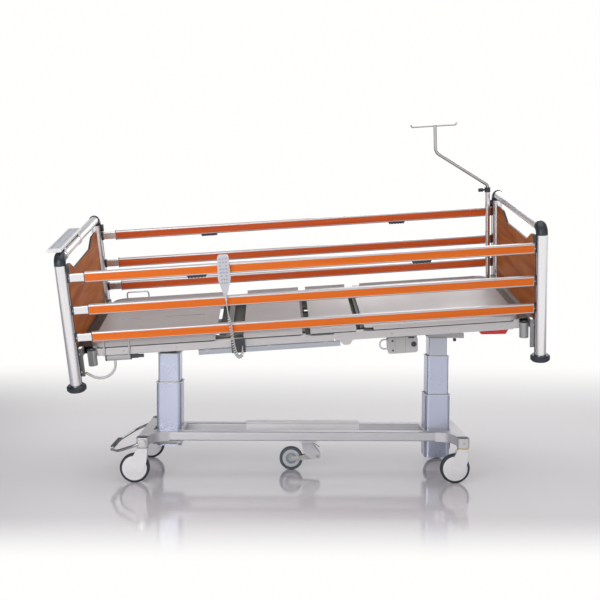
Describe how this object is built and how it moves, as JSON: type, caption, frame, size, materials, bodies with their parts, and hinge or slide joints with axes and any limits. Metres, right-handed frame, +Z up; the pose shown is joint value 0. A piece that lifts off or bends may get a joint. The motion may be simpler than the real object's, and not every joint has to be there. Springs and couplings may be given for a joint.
{
  "type": "intensive care bed",
  "caption": "Hospital bed on telescopic columns with a tilting sectioned deck, telescopic guard rails, end boards, castors, brake pedal, handset and infusion pole.",
  "frame": {"origin": "centre of the bed's footprint on the floor", "axes": "+X to the head end, +Y to the far side, +Z up; the platform is stored tilted 4 degrees head up and rolled 13.4 degrees down to the near side"},
  "size_m": [2.4167, 1.126, 1.8826],
  "materials": {
    "silver_paint": "satin",
    "polished_column": "satin",
    "deck_paint": "satin",
    "white_plastic": "matte",
    "steel": "brushed",
    "grey_plastic": "matte",
    "castor_white": "gloss",
    "rubber": "matte",
    "black_plastic": "satin",
    "aluminium": "satin",
    "board_wood": "satin",
    "dark_chrome": "polished",
    "red_plastic": "gloss"
  },
  "bodies": {
    "base": {"base_frame": "silver_paint", "base_rail_cover": "white_plastic", "column_sleeves": "silver_paint", "caster_housings": "castor_white", "fifth_wheel_bracket": "silver_paint"},
    "brake_pedal": {"brake_pedal": "steel"},
    "foot_column_mid": {"foot_column_mid": "silver_paint"},
    "head_column_mid": {"head_column_mid": "silver_paint"},
    "foot_column_inner": {"foot_column_inner": "polished_column"},
    "head_column_inner": {"head_column_inner": "polished_column"},
    "tilt_beam": {"tilt_beam": "silver_paint", "pivot_bush": "steel", "lateral_actuator": "grey_plastic"},
    "lateral_actuator_rod": {"lateral_actuator_rod": "steel"},
    "platform": {"platform_frame": "silver_paint", "corner_fittings": "black_plastic", "seat_panel": "deck_paint", "accessory_rails": "steel", "end_board_posts": "aluminium", "end_board_panels": "board_wood", "corner_elbows": "black_plastic", "corner_bumpers": "rubber", "attendant_panel": "white_plastic", "back_actuator": "grey_plastic", "thigh_actuator": "grey_plastic", "foot_actuator": "grey_plastic", "panel_cable": "white_plastic", "handset_cord": "white_plastic"},
    "back_section": {"back_section": "deck_paint"},
    "thigh_section": {"thigh_section": "silver_paint"},
    "foot_section": {"foot_section": "deck_paint", "retainer_loops": "dark_chrome"},
    "back_actuator_rod": {"back_actuator_rod": "steel"},
    "thigh_actuator_rod": {"thigh_actuator_rod": "steel"},
    "iv_pole_tube": {"iv_pole_tube": "dark_chrome"},
    "iv_clamp_knob": {"iv_clamp_knob": "black_plastic"},
    "iv_rod": {"iv_rod": "dark_chrome"},
    "cpr_levers": {"cpr_levers": "red_plastic"},
    "fifth_wheel_arm": {"fifth_wheel_arm": "silver_paint"},
    "fifth_wheel": {"fifth_wheel": "rubber"},
    "caster_fork_foot_near": {"caster_fork_foot_near": "castor_white"},
    "caster_wheel_foot_near": {"caster_wheel_foot_near": "rubber"},
    "caster_fork_foot_far": {"caster_fork_foot_far": "castor_white"},
    "caster_wheel_foot_far": {"caster_wheel_foot_far": "rubber"},
    "caster_fork_head_near": {"caster_fork_head_near": "castor_white"},
    "caster_wheel_head_near": {"caster_wheel_head_near": "rubber"},
    "caster_fork_head_far": {"caster_fork_head_far": "castor_white"},
    "caster_wheel_head_far": {"caster_wheel_head_far": "rubber"},
    "guard_rail_near_upper": {"guard_rail_near_upper": "aluminium", "handset_shell": "white_plastic", "handset_keys": "grey_plastic"},
    "guard_rail_near_middle": {"guard_rail_near_middle": "aluminium"},
    "guard_rail_near_lower": {"guard_rail_near_lower": "aluminium"},
    "release_catch_near_foot": {"release_catch_near_foot": "black_plastic"},
    "release_catch_near_head": {"release_catch_near_head": "black_plastic"},
    "guard_rail_far_upper": {"guard_rail_far_upper": "aluminium"},
    "guard_rail_far_middle": {"guard_rail_far_middle": "aluminium"},
    "guard_rail_far_lower": {"guard_rail_far_lower": "aluminium"},
    "release_catch_far_foot": {"release_catch_far_foot": "black_plastic"},
    "release_catch_far_head": {"release_catch_far_head": "black_plastic"}
  },
  "joints": [
    {"name": "brake_pedal_press", "type": "hinge", "parent": "base", "child": "brake_pedal", "pos_m": [-0.794, 0.047, 0.208], "axis": [0, 1, 0], "range_deg": [-12, 12]},
    {"name": "caster_swivel_foot_near", "type": "hinge", "parent": "base", "child": "caster_fork_foot_near", "pos_m": [-0.794, -0.238, 0.178], "axis": [0, 0, 1], "continuous": true},
    {"name": "caster_roll_foot_near", "type": "hinge", "parent": "caster_fork_foot_near", "child": "caster_wheel_foot_near", "pos_m": [-0.834, -0.238, 0.075], "axis": [0, 1, 0], "continuous": true},
    {"name": "caster_swivel_foot_far", "type": "hinge", "parent": "base", "child": "caster_fork_foot_far", "pos_m": [-0.794, 0.332, 0.178], "axis": [0, 0, 1], "continuous": true},
    {"name": "caster_roll_foot_far", "type": "hinge", "parent": "caster_fork_foot_far", "child": "caster_wheel_foot_far", "pos_m": [-0.834, 0.332, 0.075], "axis": [0, 1, 0], "continuous": true},
    {"name": "caster_swivel_head_near", "type": "hinge", "parent": "base", "child": "caster_fork_head_near", "pos_m": [0.826, -0.238, 0.178], "axis": [0, 0, 1], "continuous": true},
    {"name": "caster_roll_head_near", "type": "hinge", "parent": "caster_fork_head_near", "child": "caster_wheel_head_near", "pos_m": [0.786, -0.238, 0.075], "axis": [0, 1, 0], "continuous": true},
    {"name": "caster_swivel_head_far", "type": "hinge", "parent": "base", "child": "caster_fork_head_far", "pos_m": [0.826, 0.332, 0.178], "axis": [0, 0, 1], "continuous": true},
    {"name": "caster_roll_head_far", "type": "hinge", "parent": "caster_fork_head_far", "child": "caster_wheel_head_far", "pos_m": [0.786, 0.332, 0.075], "axis": [0, 1, 0], "continuous": true},
    {"name": "fifth_wheel_lift", "type": "hinge", "parent": "base", "child": "fifth_wheel_arm", "pos_m": [0.098, 0.047, 0.078], "axis": [0, 1, 0], "range_deg": [0, 10], "stiffness_Nm_per_rad": 40, "springref_deg": -11.46},
    {"name": "fifth_wheel_roll", "type": "hinge", "parent": "fifth_wheel_arm", "child": "fifth_wheel", "pos_m": [-0.043, 0.047, 0.0625], "axis": [0, 1, 0], "continuous": true},
    {"name": "bed_lift", "type": "slide", "parent": "base", "child": "foot_column_mid", "axis": [0, 0, 1], "range_m": [-0.148, 0.056]},
    {"name": "head_column_lift", "type": "slide", "parent": "base", "child": "head_column_mid", "axis": [0, 0, 1], "range_m": [-0.149, 0.057]},
    {"name": "foot_column_extend", "type": "slide", "parent": "foot_column_mid", "child": "foot_column_inner", "axis": [0, 0, 1], "range_m": [-0.001, 0.201]},
    {"name": "bed_tilt", "type": "hinge", "parent": "foot_column_inner", "child": "tilt_beam", "pos_m": [-0.689, 0.047, 0.6819], "axis": [0, -1, 0], "range_deg": [-11.9, 0]},
    {"name": "head_column_extend", "type": "slide", "parent": "head_column_mid", "child": "head_column_inner", "axis": [0, 0, 1], "range_m": [-0.0955, 0.0005]},
    {"name": "lateral_tilt", "type": "hinge", "parent": "tilt_beam", "child": "platform", "pos_m": [0.026, 0.047, 0.772], "axis": [0.9976, 0, 0.0698], "range_deg": [-28.4, 1.6]},
    {"name": "lateral_actuator_slide", "type": "slide", "parent": "tilt_beam", "child": "lateral_actuator_rod", "axis": [-0.0698, 0, 0.9976], "range_m": [-0.081, 0.006]},
    {"name": "back_raise", "type": "hinge", "parent": "platform", "child": "back_section", "pos_m": [0.3037, 0.03124, 0.85773], "axis": [0.0162, -0.9728, -0.2312], "range_deg": [0, 70]},
    {"name": "back_actuator_slide", "type": "slide", "parent": "platform", "child": "back_actuator_rod", "axis": [0.9976, 0, 0.0698], "range_m": [-0.001, 0.0815]},
    {"name": "thigh_raise", "type": "hinge", "parent": "platform", "child": "thigh_section", "pos_m": [0.00543, 0.03124, 0.83687], "axis": [-0.0162, 0.9728, 0.2312], "range_deg": [0, 35]},
    {"name": "thigh_actuator_slide", "type": "slide", "parent": "platform", "child": "thigh_actuator_rod", "axis": [-0.9976, 0, -0.0698], "range_m": [-0.001, 0.0435]},
    {"name": "knee_fold", "type": "hinge", "parent": "thigh_section", "child": "foot_section", "pos_m": [-0.36268, 0.03124, 0.81113], "axis": [-0.0162, 0.9728, 0.2312], "range_deg": [-53, 0.1]},
    {"name": "guard_rail_near_lower_all", "type": "slide", "parent": "platform", "child": "guard_rail_near_upper", "axis": [-0.0679, -0.2317, 0.9704], "range_m": [-0.364, 0], "deforming": ["handset_cord"]},
    {"name": "guard_rail_near_middle_slide", "type": "slide", "parent": "platform", "child": "guard_rail_near_middle", "axis": [-0.0679, -0.2317, 0.9704], "range_m": [-0.281, 0]},
    {"name": "guard_rail_near_lower_slide", "type": "slide", "parent": "platform", "child": "guard_rail_near_lower", "axis": [-0.0679, -0.2317, 0.9704], "range_m": [-0.209, 0]},
    {"name": "release_catch_near_foot_slide", "type": "slide", "parent": "guard_rail_near_upper", "child": "release_catch_near_foot", "axis": [0.9976, 0, 0.0698], "range_m": [0, 0.006], "stiffness_N_per_m": 400},
    {"name": "release_catch_near_head_slide", "type": "slide", "parent": "guard_rail_near_upper", "child": "release_catch_near_head", "axis": [0.9976, 0, 0.0698], "range_m": [0, 0.006], "stiffness_N_per_m": 400},
    {"name": "guard_rail_far_lower_all", "type": "slide", "parent": "platform", "child": "guard_rail_far_upper", "axis": [-0.0679, -0.2317, 0.9704], "range_m": [-0.364, 0]},
    {"name": "guard_rail_far_middle_slide", "type": "slide", "parent": "platform", "child": "guard_rail_far_middle", "axis": [-0.0679, -0.2317, 0.9704], "range_m": [-0.281, 0]},
    {"name": "guard_rail_far_lower_slide", "type": "slide", "parent": "platform", "child": "guard_rail_far_lower", "axis": [-0.0679, -0.2317, 0.9704], "range_m": [-0.209, 0]},
    {"name": "release_catch_far_foot_slide", "type": "slide", "parent": "guard_rail_far_upper", "child": "release_catch_far_foot", "axis": [0.9976, 0, 0.0698], "range_m": [0, 0.006], "stiffness_N_per_m": 400},
    {"name": "release_catch_far_head_slide", "type": "slide", "parent": "guard_rail_far_upper", "child": "release_catch_far_head", "axis": [0.9976, 0, 0.0698], "range_m": [0, 0.006], "stiffness_N_per_m": 400},
    {"name": "iv_pole_swivel", "type": "hinge", "parent": "platform", "child": "iv_pole_tube", "pos_m": [1.07914, 0.41294, 1.03608], "axis": [-0.0679, -0.2317, 0.9704], "range_deg": [-180, 180]},
    {"name": "iv_clamp_turn", "type": "hinge", "parent": "iv_pole_tube", "child": "iv_clamp_knob", "pos_m": [0.97645, 0.29729, 1.5155], "axis": [-0.9976, 0, -0.0698], "range_deg": [-180, 180]},
    {"name": "iv_rod_extend", "type": "slide", "parent": "iv_pole_tube", "child": "iv_rod", "axis": [-0.0679, -0.2317, 0.9704], "range_m": [0, 0.25]},
    {"name": "cpr_release", "type": "hinge", "parent": "platform", "child": "cpr_levers", "pos_m": [0.89284, 0.04005, 0.86187], "axis": [-0.0162, 0.9728, 0.2312], "range_deg": [0, 20]}
  ],
  "couplings": [
    {"joint": "head_column_lift", "follows": "bed_lift", "ratio": 1},
    {"joint": "foot_column_extend", "follows": "bed_tilt", "m_per_rad": -0.9624},
    {"joint": "head_column_extend", "follows": "bed_tilt", "m_per_rad": 0.4571},
    {"joint": "lateral_actuator_slide", "follows": "lateral_tilt", "m_per_rad": 0.1587},
    {"joint": "back_actuator_slide", "follows": "back_raise", "m_per_rad": 0.0657},
    {"joint": "thigh_actuator_slide", "follows": "thigh_raise", "m_per_rad": 0.0689},
    {"joint": "knee_fold", "follows": "thigh_raise", "ratio": -1.5},
    {"joint": "guard_rail_near_middle_slide", "follows": "guard_rail_near_lower_all", "ratio": 0.76923},
    {"joint": "guard_rail_near_lower_slide", "follows": "guard_rail_near_lower_all", "ratio": 0.57143},
    {"joint": "guard_rail_far_middle_slide", "follows": "guard_rail_far_lower_all", "ratio": 0.76923},
    {"joint": "guard_rail_far_lower_slide", "follows": "guard_rail_far_lower_all", "ratio": 0.57143}
  ]
}
